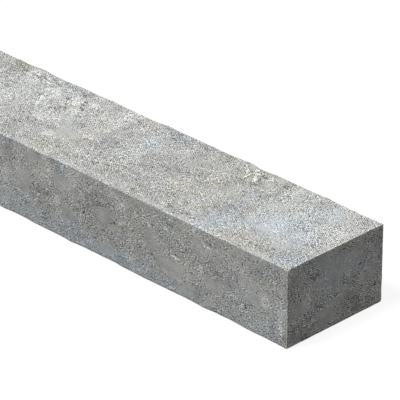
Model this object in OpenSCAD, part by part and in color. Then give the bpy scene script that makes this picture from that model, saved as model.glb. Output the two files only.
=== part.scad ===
// Precast prestressed concrete lintel, cast in a long mould and sawn to length.
// X runs along the lintel, Y across its width and Z up.
// The origin is under the middle of the lintel, on the plane that it lies on.

/* [Lintel] */
// Length between the two sawn ends
lintel_length = 900; // [600:150:3000]
// Width of the soffit and of the top bed
lintel_width = 100; // [80:5:250]
// Height from the soffit to the top bed
lintel_height = 65; // [50:5:250]

/* [Long arrises] */
// Leg of the small flat that the mould leaves along each long arris
arris_leg = 0.3; // [0.2:0.1:2]
// Depth of the deepest knock, below that flat
knock_depth = 1.2; // [0.5:0.1:3]
// Length of the longest knock
knock_length = 60; // [30:1:90]
// Mean distance from one knock to the next
knock_pitch = 28; // [20:1:80]

/* [Sawn ends] */
// Leg of the small flat round each sawn end
saw_leg = 0.5; // [0.2:0.1:2]
// Leg of the largest corner that has broken off
corner_leg = 3; // [1.5:0.5:8]

/* [Hidden] */

// The shallowest knock, the shortest knock and the smallest broken corner,
// each as a share of the greatest one
LEAST_DEPTH = 0.3;
LEAST_LENGTH = 0.45;
LEAST_CORNER = 0.3;
// A knock leaves its even spacing by up to this share of the pitch.
KNOCK_STRAY = 0.35;

// Steps of three irregular but evenly spread sequences
PLACE_STEP = 0.6180;
DEPTH_STEP = 0.7549;
LENGTH_STEP = 0.5698;
// The term at which each long arris, and the row of corners, starts in them
ARRIS_START = [3, 40, 61, 82];
CORNER_START = 3;

// Length of each straight piece of the wear line
WEAR_STEP = 4;

SIGNS = [-1, 1];
// Depth of the mould's flat, square to it
flat_depth = arris_leg / sqrt(2);

// Term n of a sequence that fills 0 to 1 without repeating
function spread(n, step) = n * step - floor(n * step);
// The same from least to 1
function share(least, n, step) = least + (1 - least) * spread(n, step);
// The point of the block's sharp corner or arris with these signs
function edge_point(end, side, level) =
    [end * lintel_length / 2, side * lintel_width / 2, (1 + level) * lintel_height / 2];

// A rectangle centred on the origin, with its four corners cut at 45 degrees
module cut_rectangle(width, height, leg) {
    x = width / 2;
    y = height / 2;
    polygon([
        [x - leg, -y], [x, leg - y], [x, y - leg], [x - leg, y],
        [leg - x, y], [-x, y - leg], [-x, leg - y], [leg - x, -y]
    ]);
}

// The block, with a flat round each sawn end
module block() {
    translate([0, 0, lintel_height / 2])
        intersection() {
            rotate([90, 0, 0])
                linear_extrude(lintel_width, center = true)
                    cut_rectangle(lintel_length, lintel_height, saw_leg);
            linear_extrude(lintel_height, center = true)
                cut_rectangle(lintel_length, lintel_width, saw_leg);
        }
}

// The knocks along one long arris, counted from the +X end, each as
// [place along X, depth below the sharp arris, half of its length]
function knocks(start) = [
    for (i = [0 : floor(lintel_length / knock_pitch) - 1])
        let (n = i + start, stray = KNOCK_STRAY * (2 * spread(n, PLACE_STEP) - 1))
            [
                lintel_length / 2 - (i + 0.5 + stray) * knock_pitch,
                flat_depth + knock_depth * share(LEAST_DEPTH, n, DEPTH_STEP),
                knock_length / 2 * share(LEAST_LENGTH, n, LENGTH_STEP)
            ]
];
// Depth of one knock at a place along X: a parabola, and below 0 past its ends
function scoop(x, knock) = knock[1] * (1 - pow((x - knock[0]) / knock[2], 2));
// How deep the arris is worn there: the deepest of its knocks, or its flat
function wear(x, knocks) = max([flat_depth, for (k = knocks) scoop(x, k)]);

// What is worn off one long arris: a strip that runs past both ends, leans at
// 45 degrees to both faces, and has the wavy wear line as its underside
module arris_waste(side, level, start) {
    knocks = knocks(start);
    half = lintel_length / 2 + WEAR_STEP;
    steps = round(2 * half / WEAR_STEP);
    reach = knock_depth + flat_depth;
    line = [
        for (i = [0 : steps])
            let (x = (2 * i / steps - 1) * half) [x, -wear(x, knocks)]
    ];
    translate(edge_point(0, side, level))
        rotate([90 + atan2(-side, level), 0, 0])
            linear_extrude(4 * reach, center = true)
                polygon(concat(line, [[half, reach], [-half, reach]]));
}

// A plane cut that takes the tip off one corner, equally along its three edges
module broken_corner(end, side, level, leg) {
    reach = 3 * leg;
    translate(edge_point(end, side, level))
        rotate([0, acos(level / sqrt(3)), atan2(side, end)])
            translate([-reach / 2, -reach / 2, -leg / sqrt(3)])
                cube(reach);
}

module concrete_lintel() {
    color([0.62, 0.62, 0.59])
        difference() {
            block();
            for (j = [0, 1], k = [0, 1])
                arris_waste(SIGNS[j], SIGNS[k], ARRIS_START[2 * j + k]);
            for (i = [0, 1], j = [0, 1], k = [0, 1])
                broken_corner(
                    SIGNS[i], SIGNS[j], SIGNS[k],
                    corner_leg * share(LEAST_CORNER, 4 * i + 2 * j + k + CORNER_START, PLACE_STEP)
                );
        }
}

concrete_lintel();
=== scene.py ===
"""Looks of a precast concrete lintel: its weathered faces, worn arrises, floor, light and camera.

X runs along the lintel, Y across its width and Z up. Everything is in metres, and a value whose
name ends in _MM is in millimetres. The near end is the sawn end at +X, and the front is at -Y.
"""

import math
from collections import namedtuple
from itertools import product

import bpy
import numpy as np
from mathutils import Matrix, Vector


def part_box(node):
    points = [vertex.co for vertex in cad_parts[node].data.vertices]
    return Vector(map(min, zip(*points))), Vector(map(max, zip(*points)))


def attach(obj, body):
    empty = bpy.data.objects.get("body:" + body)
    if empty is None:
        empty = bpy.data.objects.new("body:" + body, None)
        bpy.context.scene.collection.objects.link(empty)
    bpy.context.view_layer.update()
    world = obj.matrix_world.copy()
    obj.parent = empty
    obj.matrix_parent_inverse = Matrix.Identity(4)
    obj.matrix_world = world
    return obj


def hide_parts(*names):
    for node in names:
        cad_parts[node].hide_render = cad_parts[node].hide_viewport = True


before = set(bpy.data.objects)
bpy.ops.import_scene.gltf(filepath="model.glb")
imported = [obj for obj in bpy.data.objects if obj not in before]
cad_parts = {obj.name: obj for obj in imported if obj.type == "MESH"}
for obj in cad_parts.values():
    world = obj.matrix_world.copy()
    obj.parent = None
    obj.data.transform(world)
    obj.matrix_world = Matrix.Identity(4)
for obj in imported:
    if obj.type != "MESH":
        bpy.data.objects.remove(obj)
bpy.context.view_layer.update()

MM = 0.001
NODE = "concrete_lintel"

LOW, HIGH = (np.array(corner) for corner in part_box(NODE))
MIDDLE = (LOW + HIGH) / 2
HALF = (HIGH - LOW) / 2

# ---------------------------------------------------------------------------
# Sizes of the wear, and of the painted highlight and shade along the arrises. Those down to
# CORNER_START are the ones that the solid has.

# The mould's flat along a long arris, the knocks in it, the flat round a sawn end and the broken
# corners. A leg is how far back along the faces or edges one reaches, and a depth is straight in.
ARRIS_LEG = 0.3 * MM
KNOCK_DEPTH = 1.2 * MM
KNOCK_LENGTH = 60 * MM
KNOCK_PITCH = 28 * MM
SAW_LEG = 0.5 * MM
CORNER_LEG = 3 * MM

# The least of each as a share of the most, and how far a knock strays, as a share of the pitch
LEAST_DEPTH = 0.3
LEAST_LENGTH = 0.45
LEAST_CORNER = 0.3
KNOCK_STRAY = 0.35
# Steps of the sequences that give the knocks and corners their places, depths and lengths
PLACE_STEP = 0.6180
DEPTH_STEP = 0.7549
LENGTH_STEP = 0.5698
# The terms at which the sequences start: on each long arris, which are front bottom, front top,
# back bottom and back top, and for the corners
ARRIS_START = (3, 40, 61, 82)
CORNER_START = 3

# How much of the solid's knocks shows on each of those arrises. The front top one is crisper.
ARRIS_SHARE = (1, 0.45, 1, 1)
# How gently a worn flat runs into the faces beside it
ROUNDING = 0.25 * MM
# How deep the arrises have crumbled, and how deep the faces lie below flat, on average
CRUMB_DEPTH = 0.12 * MM
MEAN_SINK_MM = 0.25

# Cells of the skin along the lintel, across it and up it, and how much they crowd to the arrises
CELLS = (520, 52, 36)
CROWDING = (0.3, 0.82, 0.82)

# Random lumps: the width and weight of each layer, and the seed of the first. HOLLOWS add up to
# millimetres, CRUMBS to a share of their depth, and the others to what the skin's points carry.
CRUMBS = [(3 * MM, 0.6), (7 * MM, 0.6)], 11
HOLLOWS = [(70 * MM, 0.10), (24 * MM, 0.07), (9 * MM, 0.05), (4 * MM, 0.03)], 21
CHANCE_STAINS = [(60 * MM, 0.13), (26 * MM, 0.15), (12 * MM, 0.10)], 31
CHANCE_TINTS = [(64 * MM, 0.7), (28 * MM, 0.8), (13 * MM, 0.5)], 41
CHANCE_ROUGHNESS = [(40 * MM, 0.4), (18 * MM, 0.45)], 61
# What makes outlines uneven: its layers, and the seed for each axis
RAGGED_LAYERS = [(9 * MM, 0.8), (4 * MM, 0.7)]
RAGGED_SEEDS = (51, 58, 65)

# Worn arrises, paler partly from wear and partly as a painted highlight: how near the arris the
# paleness starts and is full, how strong it is on average, how much that changes along the arris,
# and the size and seed of the change
RUB_HIGHLIGHT_EDGE = (0.55 * MM, 0.1 * MM)
RUB_HIGHLIGHT_MEAN = 0.75
RUB_HIGHLIGHT_SWING = 0.5
RUB_HIGHLIGHT_LUMP = 9 * MM
RUB_HIGHLIGHT_SEED = 71
# Darkening of the pale arrises, a painted shade line along the soffit and darker upright arrises
# at the back: how near the soffit or the back it starts and is full, how far below the top it starts
# and is full at the back, and how much it outweighs the rubbing and painted highlight
DARK_EDGE = (2.0 * MM, 0.6 * MM)
DARK_BELOW_TOP = (2 * MM, 4 * MM)
DARKENING = 2.8

# ---------------------------------------------------------------------------
# Among the marks, pits are painted dark as their shade and cracks as painted highlight and shadow.
# What time and handling left on the three faces towards the camera, placed one by one.
#
# A place on a face is how far across it is and how far down, in millimetres: on the top bed,
# from the near end and from the back arris; on the front, from the near end and from the top;
# on the near end, from the front arris and from the top. Sizes are half lengths and half widths.
# Distances in the comments between the rows are from the near end.

# A face's name, the axis that across runs along and the side that it starts from, the same for
# down, the axis that the face looks along and which way, which way round that axis a tilt turns,
# and how much coarser than usual the whole face is
Face = namedtuple("Face", "name across across_side down down_side out out_side turn roughness")
TOP = Face(
    "top", across=0, across_side=1, down=1, down_side=1, out=2, out_side=1, turn=1, roughness=0.85,
)
FRONT = Face(
    "front", across=0, across_side=1, down=2, down_side=1, out=1, out_side=-1, turn=-1, roughness=0,
)
NEAR_END = Face(
    "near end", across=1, across_side=-1, down=2, down_side=1, out=0, out_side=1, turn=-1,
    roughness=0.3,
)

# Stains: across, down, half length, half width, lightness in hundredths
TOP_STAINS = [
    # The pale near end
    (40, 36, 40, 38, 8), (8, 38, 7, 9, 10), (25, 40, 6, 6, 5), (52, 55, 9, 14, 8), (70, 6, 9, 5, 7),
    (30, 14, 9, 9, 2), (47, 8, 7, 7, -14), (5, 62, 5, 6, -8), (62, 35, 8, 14, 3), (10, 80, 10, 6, -10),
    (28, 92, 13, 7, -18), (55, 90, 20, 9, -4), (74, 48, 6, 8, 8), (12, 15, 9, 8, -5),
    (52, 15, 4, 6, -5), (5, 67, 4, 5, 6), (48, 75, 8, 4, 5), (52, 88, 8, 6, -5), (18, 42, 6, 5, 5),
    (66, 10, 4, 7, 6), (54, 18, 3, 8, -5), (28, 97, 10, 3, -6), (60, 35, 4, 6, 4),
    # Darker ground beyond it, with the scab at the back arris
    (88, 95, 9, 5, 3), (88, 18, 4, 18, -14), (79, 15, 5, 16, 9), (90, 54, 9, 7, -18),
    (98, 64, 7, 6, -14), (100, 75, 14, 8, -6), (110, 7, 8, 9, -4), (112, 24, 5, 6, -8),
    (95, 62, 6, 4, 6), (155, 40, 45, 22, -10), (125, 38, 9, 9, -4), (165, 50, 14, 9, -5),
    (184, 59, 9, 5, -10), (136, 38, 6, 4, 12), (155, 62, 9, 3, 8), (117, 65, 8, 9, 2),
    (160, 10, 22, 9, -12), (175, 5, 4, 4, -5), (196, 11, 12, 9, -13), (183, 23, 7, 9, 18),
    (168, 10, 13, 12, 7), (135, 27, 10, 5, 6), (114, 52, 5, 9, 7), (197, 53, 6, 5, -6),
    (192, 73, 14, 2, -14), (165, 85, 35, 14, -9), (135, 95, 4, 4, 14), (150, 98, 3, 2, 10),
    (120, 94, 10, 5, -14), (197, 35, 5, 6, 4), (180, 64, 8, 3, -4),
    # Pale and dark bands across the bed
    (210, 80, 4, 3, -14), (210, 45, 10, 30, 10), (214, 32, 4, 9, 3), (231, 17, 4, 4, 16),
    (233, 28, 10, 17, -6), (243, 18, 2, 17, -12), (218, 30, 6, 6, 7), (208, 15, 4, 5, -8),
    (230, 68, 6, 10, -6), (233, 56, 11, 12, -14), (254, 22, 9, 22, 15), (257, 8, 7, 8, 13),
    (249, 35, 4, 8, 2), (264, 15, 4, 8, 6), (251, 56, 5, 4, 16), (271, 12, 8, 12, 4),
    (269, 28, 4, 4, 8), (271, 45, 7, 14, -5), (223, 78, 6, 4, 12), (239, 79, 4, 4, 14),
    (257, 92, 5, 6, 4), (251, 85, 12, 12, -7), (279, 75, 5, 5, 25), (265, 52, 10, 10, -4),
    # The ring of lime and the pale ground round it
    (301, 36, 20, 28, 6), (289, 17, 4, 4, 28), (304, 20, 5, 6, 30), (305, 7, 5, 5, -24),
    (293, 33, 6, 3, 20), (304, 35, 4, 4, -24), (297, 55, 11, 6, 12), (311, 44, 5, 4, 4),
    (330, 21, 7, 4, 27), (327, 33, 4, 6, 22), (323, 47, 4, 6, 8), (346, 30, 28, 26, 10),
    (296, 3, 8, 5, 12), (332, 2, 7, 4, 9), (320, 50, 4, 7, -9), (317, 62, 7, 5, -7), (335, 55, 5, 6, 8),
    (352, 38, 5, 6, 7), (367, 29, 4, 5, -13), (346, 5, 6, 4, -6), (367, 6, 6, 4, 20),
    (359, 18, 9, 4, 17), (353, 55, 8, 8, 12), (341, 10, 6, 5, 5), (337, 58, 3, 7, -6),
    (385, 9, 11, 9, -18), (386, 22, 8, 6, -4), (298, 69, 13, 4, -14), (309, 88, 12, 10, -11),
    (304, 26, 16, 10, 6), (288, 20, 5, 5, 8), (330, 44, 14, 3, -6),
]
FRONT_STAINS = [
    # Up to 100 mm
    (2, 38, 4, 17, 15), (4, 40, 7, 15, 15), (15, 10.5, 16, 8, -10), (30, 14.5, 8, 5, -6),
    (22, 33.5, 5, 6, 22), (23, 51.5, 6, 6, 12), (36, 40.5, 6, 14, 4), (5, 53.5, 6, 7, 18),
    (50, 18.5, 12, 6, 5), (65, 30.5, 18, 8, -11), (48, 12, 9, 6, -6), (42, 44, 16, 5, -7),
    (52, 42.5, 6, 5, 6), (55, 29, 18, 4, 5), (88, 55.5, 5, 8, -10), (90, 24.5, 4, 5, -8),
    (80, 9.5, 6, 3, 8), (98, 6.5, 8, 6, 10), (85, 31.5, 3, 3, 10), (83, 18.5, 5, 5, 5),
    (97, 25, 5, 12, -7), (2, 24, 4, 16, 8), (3, 57, 5, 6, 8),
    # 100 to 200 mm
    (104, 27.5, 5, 3, 8), (107, 5, 7, 4, 5), (109, 36.5, 18, 10, 8), (136, 35.5, 9, 12, -7),
    (149, 30.5, 8, 20, -4), (170, 12.5, 5, 6, 14), (168, 24.5, 5, 4, 10), (164, 14, 4, 8, 2),
    (157, 6, 7, 9, -12), (165, 21, 7, 4, -9), (177, 10, 9, 6, 8), (152, 50, 5, 12, -6),
    (195, 32, 8, 8, 7), (163, 53.5, 9, 3, 8), (191, 18.5, 16, 12, -10), (191, 40.5, 18, 12, -8),
    (103, 22, 5, 6, 8), (175, 1.5, 5, 3, -10), (132, 6, 3, 6, -5), (120, 47, 9, 3, -6),
    (162, 38, 3, 8, 4),
    # Beyond 200 mm
    (225, 13, 10, 8, 8), (247, 2, 6, 4, -14), (256, 24, 7, 6, 7), (281, 25, 6, 5, 6),
    (237, 36, 5, 5, -9), (256, 41, 9, 4, -11), (206, 28.5, 12, 10, -8), (223, 6.5, 7, 6, 14),
    (229, 22.5, 8, 8, 4), (223, 42.5, 9, 4, -12), (233, 48.5, 6, 3, 10), (241, 34.5, 4, 5, 8),
    (223, 52.5, 10, 6, -6), (251, 8.5, 7, 8, 16), (256, 20.5, 8, 7, 8), (249, 33.5, 3, 3, -10),
    (263, 33.5, 12, 3, -13), (255, 53.5, 5, 4, -10), (276, 42.5, 4, 3, 12), (283, 15.5, 4, 8, 10),
    (283, 28.5, 9, 7, 4), (295, 8.5, 5, 8, -12), (301, 33.5, 4, 7, 20), (301, 53.5, 4, 8, 13),
    (311, 20.5, 8, 18, -6), (319, 45.5, 8, 12, 6), (209, 1, 5, 3, -8), (267, 1, 5, 3, -8),
    (250, 27, 6, 5, 6), (232, 40, 5, 6, -5),
]
NEAR_END_STAINS = [
    # Dark
    (28, 4.5, 12, 5, -14), (60, 4.5, 6, 4, -10), (80, 8.5, 10, 5, -8), (6, 15.5, 6, 4, -15),
    (8, 28.5, 6, 10, -8), (28, 17.5, 3, 3, -17), (45, 26.5, 6, 3, -4), (57, 33.5, 3, 3, -9),
    (80, 17.5, 3, 3, -5), (79, 44, 5, 5, -6), (16, 28, 4, 5, -5), (3, 15, 4, 6, -4),
    (95, 12.5, 5, 5, -15), (97, 25.5, 3, 4, -15), (5, 55.5, 8, 6, -15), (18, 60.5, 4, 4, -17),
    (65, 48.5, 6, 7, -17), (73, 55.5, 4, 6, -13), (60, 58.5, 4, 4, -10),
    # Pale
    (20, 29.5, 5, 7, 21), (40, 19.5, 4, 3, 7), (42, 32.5, 10, 4, 8), (58, 42.5, 4, 3, 7),
    (66, 21.5, 10, 10, 7), (67, 29.5, 5, 5, 6), (75, 35.5, 5, 6, 10), (96, 50, 6, 12, 5),
    (65, 43, 6, 5, 4), (14, 38, 6, 4, 4), (38, 60, 18, 3, 4), (45, 50.5, 8, 7, 6), (26, 51.5, 3, 3, 4),
    (80, 48.5, 4, 7, 12), (83, 56.5, 4, 3, 7), (95, 60.5, 5, 4, 16),
]

# Tints: across, down, half length, half width, warmth from -1, bluish, to 1, cream
TOP_TINTS = [
    # Bluish
    (50, 55, 28, 18, -0.95), (20, 68, 11, 9, -0.5), (2, 45, 5, 20, -0.5), (198, 25, 6, 8, -0.4),
    (240, 52, 12, 6, -0.4), (262, 75, 5, 10, -0.4), (345, 25, 18, 16, -0.3), (38, 20, 12, 14, -0.75),
    (10, 90, 12, 10, -1.1), (96, 40, 4, 10, -0.95), (88, 82, 11, 16, -1.1), (200, 8, 12, 6, -0.95),
    (212, 30, 6, 12, -0.8), (240, 58, 4, 10, -0.4), (185, 68, 5, 8, -0.45), (178, 85, 4, 6, -0.55),
    (320, 8, 14, 8, -0.35),
    # Cream
    (84, 60, 4, 7, 0.5), (90, 32, 5, 10, 0.3), (245, 90, 6, 8, 0.4), (220, 88, 10, 6, 0.3),
    (300, 32, 16, 5, 0.3), (163, 8, 10, 10, 0.3), (180, 45, 9, 6, 0.25), (126, 60, 8, 14, 0.25),
    (50, 90, 18, 8, 0.8), (97, 6, 6, 7, 0.8), (118, 10, 10, 12, 0.45), (133, 28, 9, 14, 0.7),
    (112, 42, 8, 10, 0.4), (140, 70, 8, 12, 0.75), (120, 80, 12, 6, 0.4), (140, 45, 12, 10, 0.4),
    (170, 92, 8, 8, 0.7), (152, 10, 8, 10, 0.45), (235, 6, 8, 9, 0.7), (250, 55, 12, 14, 0.55),
    (262, 75, 12, 14, 0.55), (270, 95, 10, 6, 0.8), (200, 72, 8, 8, 0.4), (388, 6, 9, 8, 0.95),
    (345, 30, 14, 10, 0.25), (265, 35, 8, 8, 0.35),
]
FRONT_TINTS = [
    # Bluish
    (2, 30, 7, 30, -0.45), (22, 57, 28, 12, -0.7), (150, 62, 66, 8, -1.0), (240, 60, 70, 9, -0.8),
    (231, 50, 10, 5, -0.6), (292, 50, 24, 6, -0.5), (92, 3, 4, 4, -0.8), (120, 15, 3, 12, -0.5),
    (20, 8, 8, 10, -0.4), (45, 40, 6, 4, -0.4), (140, 41, 5, 3, -0.4), (165, 42, 8, 4, -0.4),
    (185, 3, 9, 4, -0.4), (235, 4, 5, 3, -0.7), (225, 28, 4, 4, -0.4), (250, 32, 5, 3, -0.3),
    (272, 33, 5, 8, -0.4), (280, 42, 8, 3, -0.5), (297, 3, 6, 5, -0.8),
    # Cream
    (95, 10, 22, 9, 0.35), (60, 5, 6, 4, 0.4), (100, 30, 9, 5, 0.55), (155, 10, 8, 14, 0.4),
    (155, 25, 4, 5, 0.5), (170, 28, 9, 4, 0.5), (130, 32, 14, 7, 0.3), (42, 24, 4, 7, 0.4),
    (30, 25, 5, 5, 0.3), (73, 40, 3, 8, 0.4), (105, 45, 6, 6, 0.3), (190, 33, 9, 5, 0.3),
    (256, 13, 10, 8, 0.45), (270, 3, 4, 3, 0.6), (220, 12, 8, 5, 0.25), (237, 20, 3, 4, 0.4),
    (255, 42, 12, 6, 0.2), (195, 10, 14, 4, 0.25), (150, 3, 8, 4, 0.3),
]
NEAR_END_TINTS = [
    # Bluish
    (48, 32, 90, 70, -0.08), (15, 1, 9, 4, -0.7), (40, 14, 16, 7, -0.55), (48, 30, 8, 9, -0.7),
    (62, 17, 7, 5, -0.55), (81, 24, 11, 9, -0.7),
    # Cream
    (66, 3, 12, 5, 0.7), (12, 26, 8, 18, 0.3), (66, 56, 16, 12, 0.55), (93, 46, 8, 14, 0.4),
]

# Patches whose sand grain shows more, or less where it is negative: across, down, half length,
# half width, change of the grain's strength
TOP_ROUGHNESS = [
    # Calm, trowelled patches
    (3, 35, 4, 12, -0.5), (47, 66, 28, 12, -0.4), (35, 75, 20, 8, -0.15), (58, 58, 12, 14, -0.2),
    (70, 35, 8, 8, -0.5), (117, 45, 12, 11, -0.6), (155, 28, 22, 10, -0.35), (175, 38, 14, 9, -0.4),
    (150, 57, 16, 5, -0.4), (90, 85, 8, 12, -0.5), (180, 92, 10, 12, -0.4), (30, 14, 12, 10, -0.4),
    (268, 63, 13, 12, -0.7), (285, 46, 14, 6, -0.5), (284, 10, 7, 8, -0.3), (335, 55, 8, 20, -0.3),
    # Rough patches
    (8, 8, 9, 7, 0.4), (15, 62, 6, 8, 0.25), (76, 17, 5, 5, 0.5), (115, 9, 9, 8, 0.4),
    (107, 22, 6, 7, 0.3), (65, 3, 14, 3, 0.4), (124, 90, 10, 7, 0.7), (106, 96, 8, 5, 0.6),
    (196, 9, 18, 7, 0.4), (206, 72, 12, 10, 0.6), (235, 60, 5, 6, 0.6), (220, 82, 14, 6, 0.3),
    (88, 61, 7, 5, 0.5), (135, 45, 6, 8, 0.4), (297, 20, 14, 5, 0.4), (310, 20, 5, 7, 0.4),
    (305, 42, 7, 6, 0.6), (325, 4, 12, 5, 0.6), (350, 12, 10, 7, 0.6), (365, 34, 6, 8, 0.6),
    (385, 14, 12, 12, 0.5), (90, 8, 10, 6, 0.3), (163, 92, 8, 8, 0.3),
]
FRONT_ROUGHNESS = [
    # Calm patches
    (72, 40, 10, 5, -0.6), (35, 32, 14, 10, -0.3), (90, 15, 6, 5, -0.4), (118, 45, 14, 6, -0.6),
    (140, 28, 6, 8, -0.6), (188, 30, 8, 8, -0.6), (155, 4, 6, 5, -0.4), (235, 18, 8, 6, -0.7),
    (228, 40, 6, 6, -0.7), (278, 30, 8, 8, -0.7), (272, 8, 6, 6, -0.4), (50, 5, 8, 5, -0.3),
    (190, 55, 10, 5, -0.3), (105, 57, 12, 5, -0.3),
    # Rough patches
    (10, 10, 14, 7, 0.3), (78, 8, 6, 5, 0.6), (43, 48, 5, 5, 0.8), (105, 22, 8, 10, 0.5),
    (110, 32, 8, 5, 0.6), (120, 12, 6, 5, 0.5), (118, 60, 4, 3, 0.5), (168, 24, 7, 5, 0.6),
    (198, 14, 10, 7, 0.4), (212, 35, 12, 8, 0.6), (208, 60, 6, 4, 0.4), (247, 8, 6, 5, 0.7),
    (250, 28, 6, 6, 0.7), (254, 48, 7, 7, 0.8), (265, 38, 6, 8, 0.5), (283, 46, 6, 6, 0.5),
    (285, 15, 8, 8, 0.3), (299, 5, 4, 6, 0.6), (6, 55, 8, 8, 0.3),
]
NEAR_END_ROUGHNESS = [
    # Calm patches
    (12, 38, 7, 6, -0.6), (12, 16, 5, 5, -0.3), (36, 6, 6, 5, -0.5), (36, 24, 5, 4, -0.5),
    (46, 14, 8, 12, -0.5), (56, 15, 7, 10, -0.6), (58, 22, 8, 6, -0.4), (71, 12, 7, 4, -0.7),
    (83, 36, 8, 6, -0.6), (45, 28, 5, 5, -0.4), (41, 52, 9, 7, -0.7), (35, 58, 5, 8, -0.3),
    # Rough patches
    (27, 16, 6, 6, 0.6), (5, 19, 5, 5, 0.3), (9, 50, 5, 5, 0.8), (23, 50, 6, 6, 0.8),
    (34, 42, 5, 4, 0.4), (49, 40, 5, 4, 0.3), (59, 33, 5, 5, 0.3), (70, 32, 4, 4, 0.3),
    (64, 53, 6, 6, 0.7), (72, 50, 6, 5, 0.6), (99, 35, 3, 12, 0.6), (98, 8, 3, 6, 0.5),
    (80, 48, 8, 8, 0.4), (85, 57, 8, 6, 0.5), (62, 3, 8, 4, 0.3),
]

# Dents and scabs: across, down, half length, half width, depth in millimetres
TOP_DENTS = [
    (111, 21, 5, 3, 0.9), (119, 24, 4, 3, 0.7), (115, 8, 3, 4, 0.8), (78, 19, 2.5, 2.5, 0.7),
    (104, 15, 3, 4, 0.4), (126, 14, 3, 6, 0.4), (303, 34, 7, 5, 0.5), (311, 22, 3, 3, 0.7),
    (305, 44, 4, 3, 0.4), (297, 19, 4, 4, 0.4), (195, 12, 16, 7, 0.3), (92, 54, 8, 7, 0.25),
]
FRONT_DENTS = [
    (107, 31, 6, 2, 0.5), (86, 31, 4, 4, 0.4), (75, 11, 8, 2, 0.35), (200, 20, 9, 5, 0.35),
    (211, 33, 3, 2, 0.5), (258, 34, 6, 6, 0.45), (139, 42, 5, 2.5, 0.3), (190, 40, 5, 2.5, 0.3),
]
NEAR_END_DENTS = [
    (92, 46, 2.5, 2.5, 0.7), (27, 17, 5, 3, 0.5), (80, 52, 9, 6, 0.3), (70, 57, 8, 5, 0.25),
]
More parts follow.
